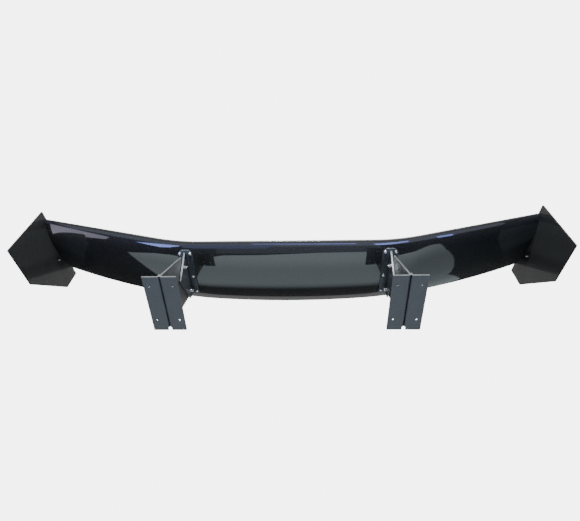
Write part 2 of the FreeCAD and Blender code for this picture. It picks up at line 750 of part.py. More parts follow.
def build_fasteners():
    """Every screw, bolt, nut, washer and spacer."""
    grip = dim("flange_t") + dim("flange_gap") + dim("skin_t") + dim("insert_len")
    bracket_screw = button_screw("bracket_screw", grip + 0.5)
    plate_screw = button_screw("plate_screw", dim("plate_t") + dim("rib_t"))
    lower_screw = button_screw("lower_screw", dim("plate_t") + dim("small_nut_z") + 1, "small_")
    washer = ring("washer", "washer_r", "washer_t", "screw_hole_r")
    nut = hex_piece("nut", dim("nut_af"), dim("nut_z"), "screw_hole_r")
    small_nut = hex_piece("small_nut", dim("small_nut_af"), dim("small_nut_z"), "small_hole_r")
    doc.recompute()
    group(bracket_screw, SCREWS, "bracket_screws")
    outside = dim("span_outer") / 2
    rib_places = [(V(outside + 0.02, p.y, p.z), INBOARD) for p in rib_screw_points()]
    group(plate_screw, rib_places, "end_plate_screws")
    corner, along, down = plate_axes()
    lower = corner + along * LOWER_SCREW_PLACE[0] - down * LOWER_SCREW_PLACE[1]
    inside = outside - dim("plate_t")
    group(lower_screw, [(V(outside + 0.02, lower.y, lower.z), INBOARD)], "lower_plate_screw")
    group(small_nut, [(V(inside - 0.02, lower.y, lower.z), INBOARD)], "lower_plate_nut")
    build_clamp(washer, nut)
    build_pivot(washer, nut)
    build_lock(washer, nut)


def build_clamp(washer, nut):
    """Two bolts that clamp the outer foot to the upright: heads outside, nuts inside."""
    washer_t = dim("washer_t")
    outer = dim("stand_x") + SHEET
    inner = UPRIGHT_IN
    bolt = hex_bolt("clamp_bolt", 2 * SHEET + 2 * washer_t + dim("nut_z") + 2)
    doc.recompute()
    spots = [V(0, y + dim("foot_front_y"), CLAMP_Z) for y in CLAMP_Y]
    group(bolt, [(spot + V(outer + washer_t, 0, 0), INBOARD) for spot in spots], "clamp_bolts")
    washers = [(spot + V(outer, 0, 0), OUTBOARD) for spot in spots]
    washers += [(spot + V(inner, 0, 0), INBOARD) for spot in spots]
    group(washer, washers, "clamp_washers")
    group(nut, [(spot + V(inner - washer_t, 0, 0), INBOARD) for spot in spots], "clamp_nuts")


def build_pivot(washer, nut):
    """The rear bolt that the wing tilts on. It stays with the upright and clears the web."""
    spot = V(0, dim("pivot_y"), dim("pivot_z"))
    gap = dim("side_gap")
    washer_t = dim("washer_t")
    outer = dim("stand_x")
    inner = WEB_IN - gap
    bolt = hex_bolt("pivot_bolt_blank", outer - inner + 2 * washer_t + dim("nut_z") + 2)
    spacer = ring("pivot_spacer_blank", "washer_r", "spacer_t", "screw_hole_r")
    spacer.Tip.setExpression("Length", "Dimensions.spacer_t - Dimensions.side_gap")
    doc.recompute()
    group(bolt, [(spot + V(outer + washer_t, 0, 0), INBOARD)], "pivot_bolt")
    group(washer, [(spot + V(outer, 0, 0), OUTBOARD), (spot + V(inner, 0, 0), INBOARD)], "pivot_washers")
    group(spacer, [(spot + V(UPRIGHT_IN, 0, 0), INBOARD)], "pivot_spacer")
    group(nut, [(spot + V(inner - washer_t, 0, 0), INBOARD)], "pivot_nut")


def build_lock(washer, nut):
    """The front bolt that rides in the upright's slot. It stays with the wing bracket."""
    spot = V(0, dim("lock_y"), dim("lock_z"))
    gap = dim("side_gap")
    washer_t = dim("washer_t")
    outer = dim("stand_x") + gap
    bolt = hex_bolt("lock_bolt_blank", outer - WEB_IN + 2 * washer_t + dim("nut_z") + 2)
    spacer = ring("lock_spacer_blank", "washer_r", "spacer_t", "screw_hole_r")
    spacer.Tip.setExpression("Length", "Dimensions.spacer_t - Dimensions.side_gap")
    doc.recompute()
    group(bolt, [(spot + V(outer + washer_t, 0, 0), INBOARD)], "lock_bolt")
    group(washer, [(spot + V(outer, 0, 0), OUTBOARD), (spot + V(WEB_IN, 0, 0), INBOARD)], "lock_washers")
    group(spacer, [(spot + V(WEB_OUT, 0, 0), OUTBOARD)], "lock_spacer")
    group(nut, [(spot + V(WEB_IN - washer_t, 0, 0), INBOARD)], "lock_nut")


# ---------------------------------------------------------------- build, check, export

def check_and_export():
    """Refuse a failed object or an invalid shape, then write one STEP file per sub-part."""
    doc.recompute()
    for obj in doc.Objects:
        if "Invalid" in obj.State or "Error" in obj.State:
            raise RuntimeError(obj.Name + " failed to compute")
    for obj in EXPORTED:
        if obj.Shape.isNull() or not obj.Shape.isValid():
            raise RuntimeError(obj.Label + " has a bad shape")
    os.makedirs("parts", exist_ok=True)
    for obj in EXPORTED:
        obj.Shape.exportStep(os.path.join("parts", obj.Label + ".step"))


build_skins()
build_spars()
build_ribs()
build_blocks()
build_bracket()
build_upright()
build_outer_foot()
build_end_plate()
build_fasteners()
check_and_export()
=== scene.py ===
"""Looks of a racing rear wing: carbon skins and end plates on two painted bent-plate stands.

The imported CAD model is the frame. The two skins are worked out again here as smooth surfaces, the
sheet-metal parts get their softened edges, and every piece gets its finish. Lengths are in metres;
+X is the car's right, +Y rearward and +Z up.
"""

from __future__ import annotations

import json
import logging
import math
from dataclasses import dataclass, field
from enum import Enum

import bmesh
import bpy
import numpy as np
from mathutils import Matrix, Vector


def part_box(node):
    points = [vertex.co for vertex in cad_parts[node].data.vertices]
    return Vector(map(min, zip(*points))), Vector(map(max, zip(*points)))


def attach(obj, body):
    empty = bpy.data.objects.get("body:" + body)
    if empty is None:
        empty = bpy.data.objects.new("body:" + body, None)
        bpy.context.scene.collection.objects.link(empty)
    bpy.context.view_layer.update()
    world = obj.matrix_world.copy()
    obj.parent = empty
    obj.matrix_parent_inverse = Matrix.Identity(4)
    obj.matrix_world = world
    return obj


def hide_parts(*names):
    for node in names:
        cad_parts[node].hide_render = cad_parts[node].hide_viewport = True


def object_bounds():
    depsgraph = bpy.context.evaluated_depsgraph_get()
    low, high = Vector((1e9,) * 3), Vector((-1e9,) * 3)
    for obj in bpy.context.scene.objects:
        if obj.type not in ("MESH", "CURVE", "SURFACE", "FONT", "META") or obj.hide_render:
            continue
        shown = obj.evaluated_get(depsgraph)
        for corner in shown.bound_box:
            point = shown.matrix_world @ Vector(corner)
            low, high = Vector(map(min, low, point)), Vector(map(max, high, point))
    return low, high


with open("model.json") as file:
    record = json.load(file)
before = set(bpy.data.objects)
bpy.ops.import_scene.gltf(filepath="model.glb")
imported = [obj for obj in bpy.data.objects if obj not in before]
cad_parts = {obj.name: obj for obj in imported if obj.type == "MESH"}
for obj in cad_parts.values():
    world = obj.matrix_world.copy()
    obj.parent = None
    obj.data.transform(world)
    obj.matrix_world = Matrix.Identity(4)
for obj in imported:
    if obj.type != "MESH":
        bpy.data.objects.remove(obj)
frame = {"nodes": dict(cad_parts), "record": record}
CAD_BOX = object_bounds()

LOG = logging.getLogger("rear_wing")
Colour = tuple[float, float, float]
Point = tuple[float, float, float]
Corner = tuple[float, float]
SIDES = ("left", "right")
MILLIMETRE = 0.001
WHITE = (1.0, 1.0, 1.0)
END_PLATE_TILT = math.radians(12.1)


# ------------------------------------------------------------------ node wiring

class Wiring:
    """Adds nodes to one node tree and joins them."""

    def __init__(self, tree: bpy.types.NodeTree) -> None:
        """Start on a tree.

        Args:
            tree: the material's or group's node tree.
        """
        self.tree = tree

    def add(self, kind: str, **settings: object) -> bpy.types.Node:
        """Add a node.

        Args:
            kind: Blender's node class name.
            **settings: attributes to set on the node.

        Returns:
            The new node.
        """
        node = self.tree.nodes.new(kind)
        for name, value in settings.items():
            setattr(node, name, value)
        return node

    def join(self, source: bpy.types.NodeSocket, target: bpy.types.NodeSocket) -> None:
        """Wire an output to an input."""
        self.tree.links.new(source, target)

    def feed(self, target: bpy.types.NodeSocket, value: object) -> None:
        """Give an input either a wire or a plain value.

        Args:
            target: the input socket.
            value: an output socket, or a number or colour.
        """
        if isinstance(value, bpy.types.NodeSocket):
            self.join(value, target)
        else:
            target.default_value = value

    def calc(self, operation: str, first: object, second: object = 0.0) -> bpy.types.NodeSocket:
        """One Math node.

        Args:
            operation: the node's operation name.
            first: a socket or number.
            second: a socket or number.

        Returns:
            The result socket.
        """
        node = self.add("ShaderNodeMath", operation=operation)
        self.feed(node.inputs[0], first)
        self.feed(node.inputs[1], second)
        return node.outputs[0]

    def blend(self, share: object, low: object, high: object) -> bpy.types.NodeSocket:
        """Mix two numbers.

        Args:
            share: 0 for low and 1 for high.
            low: a socket or number.
            high: a socket or number.

        Returns:
            The mixed value.
        """
        node = self.add("ShaderNodeMix", data_type="FLOAT")
        self.feed(node.inputs[0], share)
        self.feed(node.inputs[2], low)
        self.feed(node.inputs[3], high)
        return node.outputs[0]

    def tint(self, share: object, low: Colour, high: Colour) -> bpy.types.NodeSocket:
        """Mix two colours.

        Args:
            share: 0 for low and 1 for high.
            low: the colour at 0.
            high: the colour at 1.

        Returns:
            The mixed colour.
        """
        node = self.add("ShaderNodeMix", data_type="RGBA")
        self.feed(node.inputs[0], share)
        self.feed(node.inputs[6], (*low, 1.0))
        self.feed(node.inputs[7], (*high, 1.0))
        return node.outputs[2]

    def ramp(self, value: object, span: tuple[float, float], start: float,
             end: float) -> bpy.types.NodeSocket:
        """A soft change from one value to another.

        Args:
            value: what the change follows.
            span: where it starts and ends.
            start: the value before the span.
            end: the value after the span.

        Returns:
            The changing value.
        """
        node = self.add("ShaderNodeMapRange", interpolation_type="SMOOTHSTEP")
        self.feed(node.inputs["Value"], value)
        limits = {"From Min": span[0], "From Max": span[1], "To Min": start, "To Max": end}
        for name, number in limits.items():
            node.inputs[name].default_value = number
        return node.outputs[0]

    def noise(self, vector: bpy.types.NodeSocket, scale: float, detail: float) -> bpy.types.NodeSocket:
        """A noise value between 0 and 1.

        Args:
            vector: where to read the noise.
            scale: waves per unit of the vector.
            detail: number of finer layers.

        Returns:
            The noise value.
        """
        node = self.add("ShaderNodeTexNoise")
        self.join(vector, node.inputs["Vector"])
        node.inputs["Scale"].default_value = scale
        node.inputs["Detail"].default_value = detail
        return node.outputs[0]


def make_group(name: str, inputs: dict[str, str], outputs: dict[str, str]) -> bpy.types.NodeTree:
    """An empty shader group with named sockets.

    Args:
        name: the group's name.
        inputs: socket names and kinds that go in.
        outputs: socket names and kinds that come out.

    Returns:
        The group's tree, with its input and output nodes placed.
    """
    tree = bpy.data.node_groups.new(name, "ShaderNodeTree")
    for label, kind in inputs.items():
        tree.interface.new_socket(name=label, in_out="INPUT", socket_type="NodeSocket" + kind)
    for label, kind in outputs.items():
        tree.interface.new_socket(name=label, in_out="OUTPUT", socket_type="NodeSocket" + kind)
    tree.nodes.new("NodeGroupInput")
    tree.nodes.new("NodeGroupOutput")
    return tree


class Effects:
    """The shader groups that several finishes share."""

    TOWS_IN_REPEAT = 4.0
    TOWS_ON_TOP = 2.0
    ACROSS_FIBRES = 14.0
    ALONG_FIBRES = 0.6
    # Painted sheen: weft and warp tows get different tones, standing in for the fibres' directional
    # sheen.
    WEFT_SHEEN = 0.15
    WARP_SHEEN = 0.75
    FIBRE_IN_TONE = 0.35
    FIBRE_IN_HEIGHT = 0.2

    def __init__(self) -> None:
        """Build each group once."""
        self.twill = self.make_twill()
        self.grain = self.make_grain()

    def make_twill(self) -> bpy.types.NodeTree:
        """Two-by-two twill cloth.

        A point is counted in tows along both ways of the cloth. The warp lies on top where the sum of
        the two counts, taken in fours, is under two. Each tow's height is a half sine across it, and
        fine fibre lines run along it.

        Returns:
            The group, with a weave tone that carries a painted sheen, and a height.
        """
        tree = make_group("twill_cloth", {"Vector": "Vector", "Tow": "Float"},
                          {"WeaveSheen": "Float", "Height": "Float"})
        w = Wiring(tree)
        source, sink = tree.nodes[0], tree.nodes[1]
        split = w.add("ShaderNodeSeparateXYZ")
        w.join(source.outputs["Vector"], split.inputs[0])
        across = w.calc("DIVIDE", split.outputs[0], source.outputs["Tow"])
        along = w.calc("DIVIDE", split.outputs[1], source.outputs["Tow"])
        count = w.calc("ADD", w.calc("FLOOR", across), w.calc("FLOOR", along))
        place = w.calc("FLOORED_MODULO", count, self.TOWS_IN_REPEAT)
        warp_up = w.calc("LESS_THAN", place, self.TOWS_ON_TOP)
        warp_arch = w.calc("SINE", w.calc("MULTIPLY", w.calc("FRACT", across), math.pi))
        weft_arch = w.calc("SINE", w.calc("MULTIPLY", w.calc("FRACT", along), math.pi))
        arch = w.blend(warp_up, weft_arch, warp_arch)
        fibres = []
        ways = (self.ALONG_FIBRES, self.ACROSS_FIBRES)
        for stretch_x, stretch_y in (ways, ways[::-1]):
            lay = w.add("ShaderNodeCombineXYZ")
            w.join(w.calc("MULTIPLY", across, stretch_x), lay.inputs[0])
            w.join(w.calc("MULTIPLY", along, stretch_y), lay.inputs[1])
            fibres.append(w.noise(lay.outputs[0], 1.0, 1.0))
        fibre = w.blend(warp_up, fibres[0], fibres[1])
        # Painted sheen and shade: the warp is lighter than the weft, and each tow is lightest at its
        # crown and dark at its edges.
        shade = w.blend(warp_up, self.WEFT_SHEEN, self.WARP_SHEEN)
        streaks = w.calc("MULTIPLY", fibre, self.FIBRE_IN_TONE)
        w.join(w.calc("MULTIPLY", w.calc("ADD", shade, streaks), arch), sink.inputs["WeaveSheen"])
        ridges = w.calc("MULTIPLY", fibre, self.FIBRE_IN_HEIGHT)
        w.join(w.calc("ADD", arch, ridges), sink.inputs["Height"])
        return tree

    @staticmethod
    def make_grain() -> bpy.types.NodeTree:
        """Fine surface grain and broad patchiness.

        Returns:
            The group, with a fine height and a slow variation, both between 0 and 1.
        """
        tree = make_group("surface_grain", {"Vector": "Vector", "Fine": "Float", "Broad": "Float"},
                          {"Height": "Float", "Patches": "Float"})
        w = Wiring(tree)
        source, sink = tree.nodes[0], tree.nodes[1]
        for label, target, detail in (("Fine", "Height", 3.0), ("Broad", "Patches", 4.0)):
            node = w.add("ShaderNodeTexNoise")
            w.join(source.outputs["Vector"], node.inputs["Vector"])
            w.join(source.outputs[label], node.inputs["Scale"])
            node.inputs["Detail"].default_value = detail
            w.join(node.outputs[0], sink.inputs[target])
        return tree


# ------------------------------------------------------------------ finishes

class WeaveAxes(Enum):
    """Where a carbon finish reads its cloth."""

    SURFACE = "the piece's own weave map"
    UPRIGHT = "the plane of an end plate"
    LEVEL = "the level plane"


def new_material(name: str) -> tuple[bpy.types.Material, Wiring, bpy.types.Node]:
    """A material with a Principled BSDF in place.

    Args:
        name: the material's name.

    Returns:
        The material, its wiring and its shader.
    """
    material = bpy.data.materials.new(name)
    material.use_nodes = True
    shader = next(node for node in material.node_tree.nodes if node.type == "BSDF_PRINCIPLED")
    return material, Wiring(material.node_tree), shader


def place_group(w: Wiring, group: bpy.types.NodeTree, **inputs: object) -> bpy.types.Node:
    """Place a shared group in a material.

    Args:
        w: the material's wiring.
        group: the group's tree.
        **inputs: socket names and what feeds them.

    Returns:
        The group node.
    """
    node = w.add("ShaderNodeGroup", node_tree=group)
    for name, value in inputs.items():
        w.feed(node.inputs[name], value)
    return node


def add_bump(w: Wiring, shader: bpy.types.Node, height: object, distance: float,
             strength: float) -> None:
    """Feed a height to the shader's normal.

    Args:
        w: the material's wiring.
        shader: the Principled BSDF.
        height: the height socket.
        distance: how deep a height of one is, in metres.
        strength: share of the bump that shows.
    """
    bump = w.add("ShaderNodeBump")
    bump.inputs["Strength"].default_value = strength
    bump.inputs["Distance"].default_value = distance
    w.feed(bump.inputs["Height"], height)
    w.join(bump.outputs[0], shader.inputs["Normal"])


@dataclass(frozen=True)
class CarbonFinish:
    """Twill-weave carbon, with or without a gloss clear coat."""

    name: str
    axes: WeaveAxes
    tilt: float = 0.0
    tow: float = 0.0021
    # Painted shade and sheen: the colour in the tows' valleys and at their crowns.
    shaded_valley: Colour = (0.0010, 0.0010, 0.0012)
    sheen_crest: Colour = (0.0072, 0.0074, 0.0078)
    fine: float = 420.0
    broad: float = 7.0
    patch_tones: tuple[float, float] = (0.75, 1.2)
    roughness: tuple[float, float] = (0.56, 0.36)
    ior: float = 1.5
    specular: float = 0.16
    coat: float = 1.0
    coat_roughness: float = 0.035
    coat_ior: float = 1.52
    tow_depth: float = 0.00025
    tow_share: float = 0.22

    def build(self, effects: Effects) -> bpy.types.Material:
        """Make the material.

        Args:
            effects: the shared groups.

        Returns:
            The material.
        """
        material, w, shader = new_material(self.name)
        cloth = place_group(w, effects.twill, Vector=self.cloth_vector(w), Tow=self.tow)
        place = w.add("ShaderNodeTexCoord")
        grain = place_group(w, effects.grain, Vector=place.outputs["Object"], Fine=self.fine,
                            Broad=self.broad)
        patches = w.blend(grain.outputs["Patches"], *self.patch_tones)
        # Painted sheen: the weave's tone, with random patches, blends the shaded valley colour into the
        # sheen crest colour.
        painted_weave_sheen = w.calc("MULTIPLY", cloth.outputs["WeaveSheen"], patches)
        w.join(w.tint(painted_weave_sheen, self.shaded_valley, self.sheen_crest), shader.inputs["Base Color"])
        w.join(w.blend(cloth.outputs["WeaveSheen"], *self.roughness), shader.inputs["Roughness"])
        shader.inputs["IOR"].default_value = self.ior
        shader.inputs["Specular IOR Level"].default_value = self.specular
        shader.inputs["Coat Weight"].default_value = self.coat
        shader.inputs["Coat Roughness"].default_value = self.coat_roughness
        shader.inputs["Coat IOR"].default_value = self.coat_ior
        add_bump(w, shader, cloth.outputs["Height"], self.tow_depth, self.tow_share)
        return material

    def cloth_vector(self, w: Wiring) -> bpy.types.NodeSocket:
        """Cloth coordinates in metres.

        Args:
            w: the material's wiring.

        Returns:
            A vector whose X and Y run along the cloth.
        """
        place = w.add("ShaderNodeTexCoord")
        if self.axes is WeaveAxes.SURFACE:
            return place.outputs["UV"]
        if self.axes is WeaveAxes.LEVEL:
            return place.outputs["Object"]
        turned = w.add("ShaderNodeMapping")
        turned.inputs["Rotation"].default_value = (-self.tilt, 0.0, 0.0)
        w.join(place.outputs["Object"], turned.inputs["Vector"])
        split = w.add("ShaderNodeSeparateXYZ")
        w.join(turned.outputs[0], split.inputs[0])
        flat = w.add("ShaderNodeCombineXYZ")
        w.join(split.outputs[1], flat.inputs[0])
        w.join(split.outputs[2], flat.inputs[1])
        return flat.outputs[0]


@dataclass(frozen=True)
class PaintFinish:
    """Satin coating on aluminium plate, paler at its edges; painted shade darkens it near other parts.
    """

    name: str
    dark: Colour = (0.043, 0.045, 0.045)
    pale: Colour = (0.069, 0.070, 0.070)
    rim: Colour = (0.17, 0.19, 0.20)
    rim_radius: float = 0.0012
    rim_gain: float = 3.0
    roughness: tuple[float, float] = (0.32, 0.46)
    metallic: float = 0.25
    specular: float = 0.3
    painted_crevice_shade: Colour = (0.04, 0.04, 0.05)
    painted_shade_reach: float = 0.07
    painted_shade_span: tuple[float, float] = (0.35, 0.9)
    fine: float = 1400.0
    broad: float = 22.0
    grain_depth: float = 0.00006
    grain_share: float = 0.5

    def build(self, effects: Effects) -> bpy.types.Material:
        """Make the material.

        Args:
            effects: the shared groups.

        Returns:
            The material.
        """
        material, w, shader = new_material(self.name)
        place = w.add("ShaderNodeTexCoord")
        grain = place_group(w, effects.grain, Vector=place.outputs["Object"], Fine=self.fine,
                            Broad=self.broad)
        # Paler at the edges: the base colour turns to the rim colour where the rounded normal leaves
        # the face's own.
        rounded_normal = w.add("ShaderNodeBevel", samples=4)
        rounded_normal.inputs["Radius"].default_value = self.rim_radius
        facing = w.add("ShaderNodeVectorMath", operation="DOT_PRODUCT")
        flat = w.add("ShaderNodeNewGeometry")
        w.join(rounded_normal.outputs[0], facing.inputs[0])
        w.join(flat.outputs["Normal"], facing.inputs[1])
        rim = w.calc("MULTIPLY", w.calc("SUBTRACT", 1.0, facing.outputs["Value"]), self.rim_gain)
        rim = w.calc("MINIMUM", w.calc("MULTIPLY", rim, grain.outputs["Patches"]), 1.0)
        body = w.add("ShaderNodeMix", data_type="RGBA")
        w.join(rim, body.inputs[0])
        w.join(w.tint(grain.outputs["Patches"], self.dark, self.pale), body.inputs[6])
        body.inputs[7].default_value = (*self.rim, 1.0)
        # Painted shade: an ambient-occlusion mask darkens the base colour near other surfaces and in
        # narrow gaps.
        painted_crevice_shade = w.add("ShaderNodeAmbientOcclusion", samples=6)
        painted_crevice_shade.inputs["Distance"].default_value = self.painted_shade_reach
        shade = w.add("ShaderNodeMix", data_type="RGBA", blend_type="MULTIPLY")
        shade.inputs[0].default_value = 1.0
        w.join(body.outputs[2], shade.inputs[6])
        unshaded_share = w.ramp(painted_crevice_shade.outputs["AO"], self.painted_shade_span, 0.0, 1.0)
        w.join(w.tint(unshaded_share, self.painted_crevice_shade, WHITE), shade.inputs[7])
        w.join(shade.outputs[2], shader.inputs["Base Color"])
        w.join(w.blend(grain.outputs["Patches"], *self.roughness), shader.inputs["Roughness"])
        shader.inputs["Metallic"].default_value = self.metallic
        shader.inputs["Specular IOR Level"].default_value = self.specular
        add_bump(w, shader, grain.outputs["Height"], self.grain_depth, self.grain_share)
        return material


@dataclass(frozen=True)
class MetalFinish:
    """Bare metal with fine turned or machined grain."""

    name: str
    dark: Colour
    pale: Colour
    roughness: tuple[float, float] = (0.15, 0.34)
    fine: float = 2600.0
    broad: float = 160.0
    depth: float = 0.00002
    share: float = 0.4

    def build(self, effects: Effects) -> bpy.types.Material:
        """Make the material.

        Args:
            effects: the shared groups.

        Returns:
            The material.
        """
        material, w, shader = new_material(self.name)
        place = w.add("ShaderNodeTexCoord")
        grain = place_group(w, effects.grain, Vector=place.outputs["Object"], Fine=self.fine,
                            Broad=self.broad)
        w.join(w.tint(grain.outputs["Patches"], self.dark, self.pale), shader.inputs["Base Color"])
        w.join(w.blend(grain.outputs["Height"], *self.roughness), shader.inputs["Roughness"])
        shader.inputs["Metallic"].default_value = 1.0
        add_bump(w, shader, grain.outputs["Height"], self.depth, self.share)
        return material


@dataclass(frozen=True)
class PlainFinish:
    """A dull moulded or cellular material."""

    name: str
    dark: Colour
    pale: Colour
    roughness: tuple[float, float]
    fine: float
    depth: float
    broad: float = 40.0
    share: float = 0.6

    def build(self, effects: Effects) -> bpy.types.Material:
        """Make the material.

        Args:
            effects: the shared groups.

        Returns:
            The material.
        """
        material, w, shader = new_material(self.name)
        place = w.add("ShaderNodeTexCoord")
        grain = place_group(w, effects.grain, Vector=place.outputs["Object"], Fine=self.fine,
                            Broad=self.broad)
        w.join(w.tint(grain.outputs["Height"], self.dark, self.pale), shader.inputs["Base Color"])
        w.join(w.blend(grain.outputs["Patches"], *self.roughness), shader.inputs["Roughness"])
        add_bump(w, shader, grain.outputs["Height"], self.depth, self.share)
        return material


# ------------------------------------------------------------------ mesh helpers

MERGE_DISTANCE = 2e-6
FLAT_ANGLE = math.radians(0.4)
ROUNDED_ANGLE = math.radians(45.0)
UPRIGHT_LIMIT = 0.5


def dress(piece: bpy.types.Object, material: bpy.types.Material) -> None:
    """Give a piece one material.

    Args:
        piece: the object to dress.
        material: its finish.
    """
    piece.data.materials.clear()
    piece.data.materials.append(material)


def smooth_by_angle(mesh: bpy.types.Mesh, degrees: float) -> None:
    """Shade a mesh smooth, with creases where faces meet at more than an angle.

    Args:
        mesh: the mesh.
        degrees: the crease angle.
    """
    mesh.polygons.foreach_set("use_smooth", np.ones(len(mesh.polygons), bool))
    mesh.set_sharp_from_angle(angle=math.radians(degrees))


def refined_copy(node: str, body: str, soften: float, crease: float) -> bpy.types.Object:
    """A clean copy of a CAD node that stands in for it.

    Loose triangles are merged, flat areas become single faces, and sharp edges get a small round.

    Args:
        node: the CAD node.
        body: the body that it rides on.
        soften: width of the rounded edges.
        crease: angle above which an edge stays sharp, in degrees.

    Returns:
        The new piece.
    """
    source = frame["nodes"][node]
    mesh = source.data.copy()
    mesh.name = node + "_finished"
    work = bmesh.new()
    work.from_mesh(mesh)
    bmesh.ops.remove_doubles(work, verts=work.verts, dist=MERGE_DISTANCE)
    bmesh.ops.dissolve_limit(work, angle_limit=FLAT_ANGLE, verts=work.verts, edges=work.edges)
    work.to_mesh(mesh)
    work.free()
    smooth_by_angle(mesh, crease)
    piece = bpy.data.objects.new(node + "_finished", mesh)
    bpy.context.scene.collection.objects.link(piece)
    rounding = piece.modifiers.new("softened_edges", "BEVEL")
    rounding.width = soften
    rounding.segments = 2
    rounding.limit_method = "ANGLE"
    rounding.angle_limit = ROUNDED_ANGLE
    rounding.harden_normals = True
    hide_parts(node)
    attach(piece, body)
    return piece


def bare_the_holes(piece: bpy.types.Object, metal: bpy.types.Material, centres: list[Corner],
                   radius: float) -> None:
    """Give the walls of upright holes their own bare metal.

    Args:
        piece: the drilled piece.
        metal: the finish of the walls.
        centres: the holes' places in X and Y.
        radius: a little more than the holes' radius.
    """
    mesh = piece.data
    mesh.materials.append(metal)
    count = len(mesh.polygons)
    places, facing, slots = np.empty(count * 3), np.empty(count * 3), np.zeros(count, np.int32)
    mesh.polygons.foreach_get("center", places)
    mesh.polygons.foreach_get("normal", facing)
    places = places.reshape(-1, 3)[:, :2]
    wall = np.abs(facing.reshape(-1, 3)[:, 2]) < UPRIGHT_LIMIT
    for centre in centres:
        slots[wall & (np.hypot(*(places - centre).T) < radius)] = len(mesh.materials) - 1
    mesh.polygons.foreach_set("material_index", slots)


def body_of_node(node: str) -> str:
    """The CAD body that holds a node."""
    bodies = frame["record"]["behaviour"]["bodies"]
    return next(name for name, members in bodies.items() if node in members)


def slot_of_node(node: str) -> str:
    """The record's material slot of a node."""
    return next(row["material_slot"] for row in frame["record"]["subparts"] if row["node"] == node)


# ------------------------------------------------------------------ the wing's skins

